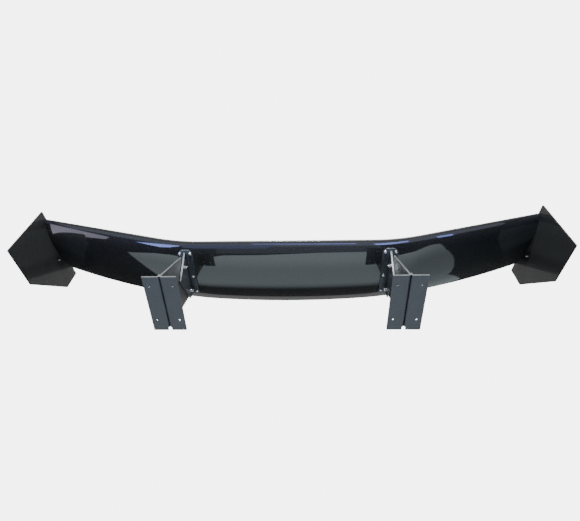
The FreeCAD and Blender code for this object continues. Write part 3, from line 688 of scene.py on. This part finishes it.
@dataclass
class WingSkins:
    """The two bonded half shells, as closed surfaces of span and chord.

    The numbers are the CAD wing's own, in metres; camber and thickness are shares of the chord.
    """

    front_y: float = -0.0785
    front_z: float = 0.246
    back_y: float = 0.1768
    back_z: float = 0.255
    front_sweep: float = 0.146
    front_rise: float = 0.1
    bend_start: float = 0.3
    bend_finish: float = 0.45
    back_sweep: float = 0.101
    back_rise: float = 0.075
    back_rise_start: float = 0.28
    back_rise_power: float = 1.6
    tip_reference: float = 0.822
    camber: float = 0.066
    camber_place: float = 0.62
    thickness: float = 0.12
    edge_thickness: float = 0.002
    wall: float = 0.002
    root_term: float = 0.2969
    power_terms: tuple[float, ...] = (-0.126, -0.3516, 0.2843, -0.1036)
    span_steps: int = 188
    chord_steps: int = 110
    slope_step: float = 1e-5
    crease: float = 40.0

    def chord_lines(self, x: np.ndarray) -> tuple[np.ndarray, np.ndarray]:
        """Leading and trailing edges.

        The leading edge runs straight between the stands, then turns through a parabola into a
        straight outer run. The trailing edge sweeps forward with the square of the distance from the
        middle, and rises outside the stands with a power of it.

        Args:
            x: stations across the span.

        Returns:
            Leading edge and trailing edge points in Y and Z.
        """
        out = np.abs(x)
        reach = self.bend_finish - self.bend_start
        inside = np.clip(out - self.bend_start, 0.0, reach)
        run = inside ** 2 / (2 * reach) + np.maximum(out - self.bend_finish, 0.0)
        front_y = self.front_y - self.front_sweep * run
        front = np.stack([front_y, self.front_z + self.front_rise * run], -1)
        rise = np.maximum(out - self.back_rise_start, 0) / (self.tip_reference - self.back_rise_start)
        back_y = self.back_y - self.back_sweep * (out / self.tip_reference) ** 2
        back = np.stack([back_y, self.back_z + self.back_rise * rise ** self.back_rise_power], -1)
        return front, back

    def mean_drop(self, f: np.ndarray) -> np.ndarray:
        """Drop of the mean line below the chord, as a share of the chord.

        Two parabolas meet, level, at the place of the greatest camber.

        Args:
            f: fractions of the chord.

        Returns:
            The drop at each fraction.
        """
        place = self.camber_place
        ahead = self.camber / place ** 2 * (2 * place * f - f * f)
        behind = self.camber / (1 - place) ** 2 * (1 - 2 * place + 2 * place * f - f * f)
        return np.where(f < place, ahead, behind)

    def section(self, f: np.ndarray, chord: np.ndarray, side: int) -> tuple[np.ndarray, np.ndarray]:
        """Outer surface in chord axes: the mean line plus or minus a round-nosed half thickness.

        The half thickness is a square-root term, which rounds the nose, and a polynomial in the chord
        fraction, plus a wedge that grows to half the edge's thickness.

        Args:
            f: fractions of the chord.
            chord: chord lengths.
            side: +1 for the upper and -1 for the lower surface.

        Returns:
            Distances along and square to the chord.
        """
        shape = self.root_term * np.sqrt(f)
        for power, term in enumerate(self.power_terms, start=1):
            shape = shape + term * f ** power
        half = 5 * self.thickness * chord * shape + self.edge_thickness / 2 * f
        return f * chord, side * half - self.mean_drop(f) * chord

    def grids(self, side: int) -> tuple[np.ndarray, np.ndarray]:
        """Outer and inner wall points on a grid of span and chord.

        Chord fractions are half a cosine wave, so they crowd at the nose. The inner wall is the outer
        one moved square to itself by the wall, and stops at the mean line. Nothing passes the rear of
        the CAD skin.

        Args:
            side: +1 for the upper and -1 for the lower skin.

        Returns:
            Two arrays of points, span by chord by three.
        """
        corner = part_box("upper_skin" if side > 0 else "lower_skin")[1]
        tip, rear = corner.x, corner.y
        x = np.linspace(-tip, tip, self.span_steps + 1)[:, None]
        f = ((1 - np.cos(np.linspace(0, math.pi, self.chord_steps + 1))) / 2)[None, :]
        front, back = self.chord_lines(x[:, 0])
        line = back - front
        chord = np.linalg.norm(line, axis=1)[:, None]
        along = line / chord
        u, v = self.section(f, chord, side)
        ahead, ahead_v = self.section(np.clip(f + self.slope_step, 0, 1), chord, side)
        before, before_v = self.section(np.clip(f - self.slope_step, 0, 1), chord, side)
        du, dv = ahead - before, ahead_v - before_v
        length = np.hypot(du, dv)
        inner_u = u + side * dv / length * self.wall
        inner_v = v - side * du / length * self.wall
        mean = -self.mean_drop(np.clip(inner_u / chord, 0, 1)) * chord
        inner_v = np.where(side * (inner_v - mean) < 0, mean, inner_v)
        walls = []
        for a, b in ((u, v), (inner_u, inner_v)):
            y = front[:, None, 0] + along[:, None, 0] * a - along[:, None, 1] * b
            z = front[:, None, 1] + along[:, None, 1] * a + along[:, None, 0] * b
            walls.append(np.stack([np.broadcast_to(x, y.shape), np.minimum(y, rear), z], -1))
        return walls[0], walls[1]

    def shell(self, name: str, side: int) -> bpy.types.Object:
        """One closed half shell with a weave map in metres.

        The outer wall, the inner wall run backwards, and the strips that join them along both edges and
        both tips are quads of one grid that closes on itself.

        Args:
            name: the piece's name.
            side: +1 for the upper and -1 for the lower skin.

        Returns:
            The new piece.
        """
        outer, inner = self.grids(side)
        ring = np.concatenate([outer, inner[:, ::-1]], axis=1)
        spans, count = ring.shape[:2]
        index = np.arange(spans * count).reshape(spans, count)
        around = np.roll(index, -1, axis=1)
        faces = np.stack([index[:-1], around[:-1], around[1:], index[1:]], -1).reshape(-1, 4)
        half = count // 2
        caps = []
        for row in (index[0], index[-1]):
            out, back = row[:half], row[half:][::-1]
            caps.append(np.stack([out[:-1], back[:-1], back[1:], out[1:]], -1))
        caps[1] = caps[1][:, ::-1]
        faces = np.concatenate([faces, caps[0], caps[1]])
        if side > 0:
            faces = faces[:, ::-1]
        mesh = bpy.data.meshes.new(name)
        mesh.from_pydata(ring.reshape(-1, 3).tolist(), [], faces.tolist())
        step = np.linalg.norm(np.diff(outer, axis=1), axis=2)
        arc = np.concatenate([np.zeros((spans, 1)), np.cumsum(step, axis=1)], axis=1)
        across = np.concatenate([outer[..., 0], outer[:, ::-1, 0]], axis=1)
        down = np.concatenate([arc, arc[:, ::-1]], axis=1)
        corners = np.stack([across, down], -1).reshape(-1, 2)[faces.reshape(-1)]
        weave = mesh.uv_layers.new(name="weave")
        weave.data.foreach_set("uv", corners.reshape(-1).astype(np.float32))
        smooth_by_angle(mesh, self.crease)
        piece = bpy.data.objects.new(name, mesh)
        bpy.context.scene.collection.objects.link(piece)
        return piece

    def build(self, finish: bpy.types.Material) -> None:
        """Make both skins.

        Args:
            finish: the clear-coated carbon.
        """
        for node, side in (("upper_skin", 1), ("lower_skin", -1)):
            piece = self.shell(node + "_smooth", side)
            dress(piece, finish)
            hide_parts(node)
            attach(piece, "wing")
            LOG.info("%s: %d faces", piece.name, len(piece.data.polygons))


# ------------------------------------------------------------------ the other sub-assemblies

@dataclass
class RefinedSet:
    """CAD nodes that get a clean copy with softened edges and one finish."""

    nodes: tuple[str, ...]
    soften: float
    crease: float = 32.0
    pieces: list[bpy.types.Object] = field(default_factory=list)

    def build(self, finish: bpy.types.Material) -> None:
        """Make the copies.

        Args:
            finish: the material of all of them.
        """
        for node in self.nodes:
            for side in SIDES:
                name = side + "_" + node
                piece = refined_copy(name, body_of_node(name), self.soften, self.crease)
                dress(piece, finish)
                self.pieces.append(piece)
                LOG.info("%s: %d faces", piece.name, len(piece.data.polygons))


@dataclass
class Feet(RefinedSet):
    """The bent plates whose feet stand on the boot lid, with fixing holes drilled after painting."""

    margin: float = 1.1

    def drill(self, metal: bpy.types.Material) -> None:
        """Bare the walls of the fixing holes, which the record's bolt patterns place.

        Args:
            metal: bare aluminium.
        """
        centres: list[Corner] = []
        radius = 0.0
        for row in frame["record"]["mounts"]:
            if row["kind"] == "bolt_pattern":
                x, y, _ = row["pos_m"]
                half_x, half_y, radius = (row["dims"][key] * MILLIMETRE for key in
                                          ("spacing_x_mm", "spacing_y_mm", "hole_r_mm"))
                half_x, half_y = half_x / 2, half_y / 2
                centres += [(x + i * half_x, y + j * half_y) for i in (-1, 1) for j in (-1, 1)]
        for piece in self.pieces:
            bare_the_holes(piece, metal, centres, radius * self.margin)


def dress_inner_pieces(finishes: dict[str, bpy.types.Material]) -> None:
    """Dress the inner pieces, which keep their CAD shape.

    Args:
        finishes: materials by the record's slot names.
    """
    for name, piece in frame["nodes"].items():
        slot = slot_of_node(name)
        if slot in finishes:
            dress(piece, finishes[slot])
            LOG.info("%s dressed as %s", name, slot)


# ------------------------------------------------------------------ studio

class BoardPlane(Enum):
    """Where a glowing board hangs: the axis that it is square to, and its place on it."""

    BELOW = (2, -1.5)
    BEHIND = (1, 6.0)
    FAR_BEHIND = (1, 7.0)
    IN_FRONT = (1, -7.0)
    LEFT = (0, -6.0)
    RIGHT = (0, 6.0)


@dataclass(frozen=True)
class GlowBoard:
    """A glowing board that the camera can't see; it lights the gloss and the matt surfaces alike.

    Its outline is given in the two axes of its plane, in the order X, Y, Z. The glow can change from
    the near value to the far one along Y, and then die away. Where the board runs out past
    ``slant_from``, the dying away moves back in proportion, and over ``share_run`` the glow drops to
    its right-hand share.
    """

    name: str
    plane: BoardPlane
    outline: tuple[Corner, ...]
    colour: Colour
    near: float
    far: float | None = None
    turn: tuple[float, float] = (0.3, 1.1)
    dying: tuple[float, float] = (1.8, 3.3)
    slant_from: float = 1.1
    slant: float = 1.3
    share_run: float = 0.5
    right_share: float = 1.0

    def corners(self, lift: float) -> list[Point]:
        """The outline in space.

        Args:
            lift: how far this board hangs off its plane, so that boards can overlap.

        Returns:
            The corners, in order.
        """
        axis, place = self.plane.value
        return [(*point[:axis], place + lift, *point[axis:]) for point in self.outline]

    def glow(self) -> bpy.types.Material:
        """Make the board's glow.

        Returns:
            An emission material.
        """
        material = bpy.data.materials.new(self.name + "_glow")
        material.use_nodes = True
        w = Wiring(material.node_tree)
        w.tree.nodes.clear()
        glow = w.add("ShaderNodeEmission")
        glow.inputs["Color"].default_value = (*self.colour, 1.0)
        glow.inputs["Strength"].default_value = self.near
        if self.far is not None:
            place = w.add("ShaderNodeTexCoord")
            split = w.add("ShaderNodeSeparateXYZ")
            w.join(place.outputs["Object"], split.inputs[0])
            past = w.calc("MAXIMUM", w.calc("SUBTRACT", split.outputs[0], self.slant_from), 0.0)
            along = w.calc("SUBTRACT", split.outputs[1], w.calc("MULTIPLY", past, self.slant))
            body = w.ramp(split.outputs[1], self.turn, self.near, self.far)
            fade = w.ramp(along, self.dying, 1.0, 0.0)
            drop = (self.slant_from, self.slant_from + self.share_run)
            share = w.ramp(split.outputs[0], drop, 1.0, self.right_share)
            w.join(w.calc("MULTIPLY", w.calc("MULTIPLY", body, fade), share), glow.inputs["Strength"])
        sink = w.add("ShaderNodeOutputMaterial")
        w.join(glow.outputs[0], sink.inputs["Surface"])
        return material


@dataclass(frozen=True)
class SoftLamp:
    """A rectangular lamp that the camera can't see, and the gloss only where asked for."""

    name: str
    place: Point
    aim: Point
    size: tuple[float, float]
    power: float
    colour: Colour = WHITE
    in_gloss: bool = False
    in_matt: bool = True

    def build(self) -> None:
        """Put the lamp into the scene."""
        data = bpy.data.lights.new(self.name, "AREA")
        data.shape = "RECTANGLE"
        data.size, data.size_y = self.size
        data.energy = self.power
        data.color = self.colour
        lamp = bpy.data.objects.new(self.name, data)
        lamp.location = self.place
        ahead = Vector(self.aim) - Vector(self.place)
        lamp.rotation_euler = ahead.to_track_quat("-Z", "Y").to_euler()
        lamp.visible_camera = False
        lamp.visible_glossy = self.in_gloss
        lamp.visible_diffuse = self.in_matt
        bpy.context.scene.collection.objects.link(lamp)


WING = (0.0, 0.0, 0.2)
COOL = (0.92, 0.97, 1.0)
LILAC = (0.82, 0.80, 1.0)
NEUTRAL = (0.84, 0.98, 1.03)
HAZE = (0.72, 0.80, 1.0)
VIOLET = (0.42, 0.52, 1.0)
STREAK = (0.30, 0.38, 1.0)
SCREEN = ((-4.5, -0.95), (4.5, -0.95), (4.5, 2.6), (-4.5, 2.6))
LAMPS = (
    SoftLamp("overhead", (0.3, 0.4, 2.4), WING, (3.2, 1.8), 110.0),
    SoftLamp("far_front", (0.0, -9.0, 0.9), (0.0, 0.0, 0.15), (1.6, 0.8), 6500.0, COOL, in_gloss=True),
    SoftLamp("far_rear", (1.5, 9.0, 1.8), WING, (3.0, 1.2), 2500.0),
    SoftLamp("far_left", (-8.0, -1.0, 1.2), WING, (3.0, 1.2), 120.0),
    SoftLamp("far_right", (8.0, -1.0, 1.2), WING, (3.0, 1.2), 120.0),
    SoftLamp("plate_glint", (-0.8445, -0.114, 0.178), (0.0, -0.114, 0.178), (0.048, 0.175), 0.095,
             LILAC, in_gloss=True, in_matt=False),
)
BOARDS = (
    GlowBoard("wide_board", BoardPlane.BELOW,
              ((-1.93, 0.72), (-1.5, 0.40), (-1.25, 0.33), (-0.86, 0.45), (-0.6, 0.17), (-0.3, 0.15),
               (0.45, -0.03), (0.65, -0.01), (1.0, 0.42), (1.22, 0.34), (1.33, 0.08), (1.42, 0.10),
               (1.62, 0.60), (4.5, 6.0), (-3.0, 6.0), (-2.19, 2.2)),
              NEUTRAL, near=2.5, far=1.75, right_share=0.62),
    GlowBoard("rear_board", BoardPlane.BEHIND,
              ((2.3, -1.5), (4.6, -1.5), (4.4, 1.5), (2.3, 1.5)), NEUTRAL, near=1.0),
    GlowBoard("front_haze", BoardPlane.BELOW,
              ((-2.4, -1.6), (1.9, -1.6), (1.9, -0.55), (-2.4, -0.55)), HAZE, near=1.2),
    GlowBoard("near_haze", BoardPlane.BELOW,
              ((-0.65, -0.5), (0.7, -0.5), (0.7, 0.02), (-0.65, 0.05)), HAZE, near=0.5),
    GlowBoard("violet_haze", BoardPlane.BELOW,
              ((-1.0, -0.9), (-0.15, -0.9), (-0.25, -0.38), (-1.0, -0.38)), VIOLET, near=1.6),
    GlowBoard("left_streak", BoardPlane.BELOW,
              ((-1.54, -0.30), (-1.28, -0.55), (-1.14, -0.64), (-1.04, -0.66), (-1.05, -0.52),
               (-1.17, -0.28), (-1.30, -0.17), (-1.43, -0.22)), STREAK, near=19.0),
    GlowBoard("middle_streak", BoardPlane.BELOW,
              ((-0.40, -1.25), (0.5, -1.05), (0.5, -0.90), (0.2, -0.94), (-0.40, -1.12)),
              STREAK, near=13.0),
    GlowBoard("right_streak", BoardPlane.BELOW,
              ((0.64, -0.90), (0.80, -0.98), (1.0, -1.0), (1.0, -0.72), (0.80, -0.62), (0.66, -0.62)),
              STREAK, near=17.0),
    GlowBoard("far_streak", BoardPlane.BELOW,
              ((1.27, -0.82), (1.42, -0.74), (1.44, -0.46), (1.30, -0.52)), STREAK, near=14.0),
    GlowBoard("side_board", BoardPlane.BELOW,
              ((-1.80, -0.28), (-2.1, -0.38), (-2.2, -0.55), (-2.4, -0.6), (-2.75, -0.4),
               (-2.62, 0.22), (-2.2, 0.25), (-1.9, 0.02)), LILAC, near=3.6),
    GlowBoard("left_screen", BoardPlane.LEFT, SCREEN, WHITE, near=1.0),
    GlowBoard("right_screen", BoardPlane.RIGHT, SCREEN, WHITE, near=1.0),
    GlowBoard("front_screen", BoardPlane.IN_FRONT, SCREEN, WHITE, near=1.0),
    GlowBoard("rear_screen", BoardPlane.FAR_BEHIND, SCREEN, WHITE, near=0.9),
)


@dataclass
class Studio:
    """Camera, floor, pale surroundings, lamps, and the boards that the gloss reflects.

    The camera's angles are in degrees: how far it looks up, how far it turns to the left, and how
    far it leans.
    """

    lens: float = 23.92
    sensor: float = 36.0
    nearest: float = 0.05
    camera_place: Point = (0.0598, -0.6684, -0.9278)
    pitch: float = 60.27
    swing: float = 4.32
    roll: float = 3.29
    below_light: float = 0.015
    above_light: float = 0.85
    gloss_light: float = 0.5
    soft_rise: tuple[float, float] = (0.25, 0.9)
    gloss_rise: tuple[float, float] = (0.25, 0.6)
    backdrop_light: float = 7.0
    board_step: float = 0.003
    floor_reach: float = 9.0
    floor_gap: float = 0.0004
    floor_tone: Colour = (0.78, 0.78, 0.78)

    def build(self) -> None:
        """Set everything up."""
        self.place_camera()
        self.lay_floor()
        self.light_world()
        self.hang_boards()
        self.hang_lamps()

    def place_camera(self) -> None:
        """A low camera in front of the wing that looks steeply up at its underside."""
        tilt, turn, lean = (math.radians(v) for v in (self.pitch, self.swing, self.roll))
        reach = math.cos(tilt)
        ahead = Vector((-math.sin(turn) * reach, math.cos(turn) * reach, math.sin(tilt)))
        level = Vector((math.cos(turn), math.sin(turn), 0.0))
        upward = level.cross(ahead)
        right = level * math.cos(lean) + upward * math.sin(lean)
        top = upward * math.cos(lean) - level * math.sin(lean)
        data = bpy.data.cameras.new("camera")
        data.lens = self.lens
        data.sensor_width = self.sensor
        data.clip_start = self.nearest
        camera = bpy.data.objects.new("camera", data)
        turn_matrix = Matrix((right, top, -ahead)).transposed().to_4x4()
        camera.matrix_world = Matrix.Translation(self.camera_place) @ turn_matrix
        bpy.context.scene.collection.objects.link(camera)
        bpy.context.scene.camera = camera

    @staticmethod
    def flat_piece(name: str, corners: list[Point]) -> bpy.types.Object:
        """A flat stage piece from its corners.

        Args:
            name: the piece's name.
            corners: its outline, in order.

        Returns:
            The staged object.
        """
        mesh = bpy.data.meshes.new(name)
        mesh.from_pydata(corners, [], [tuple(range(len(corners)))])
        piece = bpy.data.objects.new(name, mesh)
        bpy.context.scene.collection.objects.link(piece)
        return piece

    def lay_floor(self) -> None:
        """A pale floor at the feet that only shows from above and throws no shadow downwards."""
        reach = self.floor_reach
        level = CAD_BOX[0].z - self.floor_gap
        floor = self.flat_piece("floor", [(-reach, -reach, level), (reach, -reach, level),
                                          (reach, reach, level), (-reach, reach, level)])
        floor.visible_diffuse = False
        floor.visible_glossy = False
        floor.visible_shadow = False
        floor.visible_transmission = False
        material = bpy.data.materials.new("pale_floor")
        material.use_nodes = True
        w = Wiring(material.node_tree)
        w.tree.nodes.clear()
        side = w.add("ShaderNodeNewGeometry")
        top = w.add("ShaderNodeBsdfDiffuse")
        top.inputs["Color"].default_value = (*self.floor_tone, 1.0)
        clear = w.add("ShaderNodeBsdfTransparent")
        mix = w.add("ShaderNodeMixShader")
        sink = w.add("ShaderNodeOutputMaterial")
        w.join(side.outputs["Backfacing"], mix.inputs[0])
        w.join(top.outputs[0], mix.inputs[1])
        w.join(clear.outputs[0], mix.inputs[2])
        w.join(mix.outputs[0], sink.inputs["Surface"])
        dress(floor, material)

    def light_world(self) -> None:
        """A pale backdrop for the camera, and light from above, weaker in the gloss."""
        world = bpy.data.worlds.new("surroundings")
        bpy.context.scene.world = world
        world.use_nodes = True
        w = Wiring(world.node_tree)
        w.tree.nodes.clear()
        path = w.add("ShaderNodeLightPath")
        place = w.add("ShaderNodeTexCoord")
        split = w.add("ShaderNodeSeparateXYZ")
        w.join(place.outputs["Generated"], split.inputs[0])
        soft = w.ramp(split.outputs[2], self.soft_rise, self.below_light, self.above_light)
        gloss = w.ramp(split.outputs[2], self.gloss_rise, self.below_light, self.gloss_light)
        seen = w.blend(path.outputs["Is Glossy Ray"], soft, gloss)
        seen = w.blend(path.outputs["Is Camera Ray"], seen, self.backdrop_light)
        around = w.add("ShaderNodeBackground")
        w.join(seen, around.inputs["Strength"])
        sink = w.add("ShaderNodeOutputWorld")
        w.join(around.outputs[0], sink.inputs[0])

    def hang_boards(self) -> None:
        """Hang every glowing board."""
        for order, board in enumerate(BOARDS):
            piece = self.flat_piece(board.name, board.corners(order * self.board_step))
            piece.visible_camera = False
            piece.visible_shadow = False
            dress(piece, board.glow())

    def hang_lamps(self) -> None:
        """Light every lamp."""
        for lamp in LAMPS:
            lamp.build()


# ------------------------------------------------------------------ main


FIXINGS = ("bracket_screws", "end_plate_screws", "lower_plate_screw", "lower_plate_nut", "clamp_bolts",
           "clamp_washers", "clamp_nuts", "pivot_bolt", "pivot_washers", "pivot_nut", "lock_bolt",
           "lock_washers", "lock_nut")
SPACERS = ("pivot_spacer", "lock_spacer")
SKIN_CARBON = CarbonFinish("coated_skin_carbon", WeaveAxes.SURFACE)
# The plates' weave gets a stronger painted sheen.
PLATE_CARBON = CarbonFinish("coated_plate_carbon", WeaveAxes.UPRIGHT, END_PLATE_TILT,
                            shaded_valley=(0.002, 0.002, 0.0019), sheen_crest=(0.019, 0.019, 0.0185))
BARE_CARBON = CarbonFinish("bare_carbon", WeaveAxes.LEVEL, coat=0.0)
PAINT = PaintFinish("satin_slate_paint")
# Its painted crevice shade reaches only into narrow gaps, such as the grooves at its bends.
DEEP_PAINT = PaintFinish("satin_deep_slate_paint", (0.022, 0.026, 0.030), (0.036, 0.041, 0.046),
                         roughness=(0.27, 0.41), specular=0.5, painted_shade_reach=0.009)
STEEL = MetalFinish("bright_stainless", (0.62, 0.60, 0.56), (0.78, 0.77, 0.74))
ALUMINIUM = MetalFinish("machined_aluminium", (0.60, 0.61, 0.63), (0.72, 0.73, 0.75), (0.27, 0.46))
BRASS = MetalFinish("turned_brass", (0.66, 0.48, 0.20), (0.80, 0.62, 0.30))
NYLON = PlainFinish("black_nylon", (0.012, 0.012, 0.013), (0.03, 0.03, 0.03),
                    roughness=(0.42, 0.58), fine=900.0, depth=4e-5)
FOAM = PlainFinish("rigid_foam", (0.30, 0.24, 0.14), (0.42, 0.35, 0.22),
                   roughness=(0.77, 0.93), fine=700.0, depth=2e-4)


def main() -> None:
    """Build the studio, the finishes and every piece."""
    logging.basicConfig(level=logging.INFO, format="%(message)s")
    effects = Effects()
    Studio().build()
    aluminium = ALUMINIUM.build(effects)
    WingSkins().build(SKIN_CARBON.build(effects))
    RefinedSet(("end_plate",), soften=0.0006).build(PLATE_CARBON.build(effects))
    feet = Feet(("upright", "outer_foot"), soften=0.0005)
    feet.build(PAINT.build(effects))
    feet.drill(aluminium)
    RefinedSet(("wing_bracket",), soften=0.0005).build(DEEP_PAINT.build(effects))
    RefinedSet(FIXINGS, soften=0.0002, crease=38.0).build(STEEL.build(effects))
    RefinedSet(SPACERS, soften=0.0001, crease=38.0).build(NYLON.build(effects))
    dress_inner_pieces({
        "carbon_bare": BARE_CARBON.build(effects),
        "rib_foam": FOAM.build(effects),
        "block_aluminium": aluminium,
        "insert_brass": BRASS.build(effects),
    })


if __name__ == "__main__":
    main()
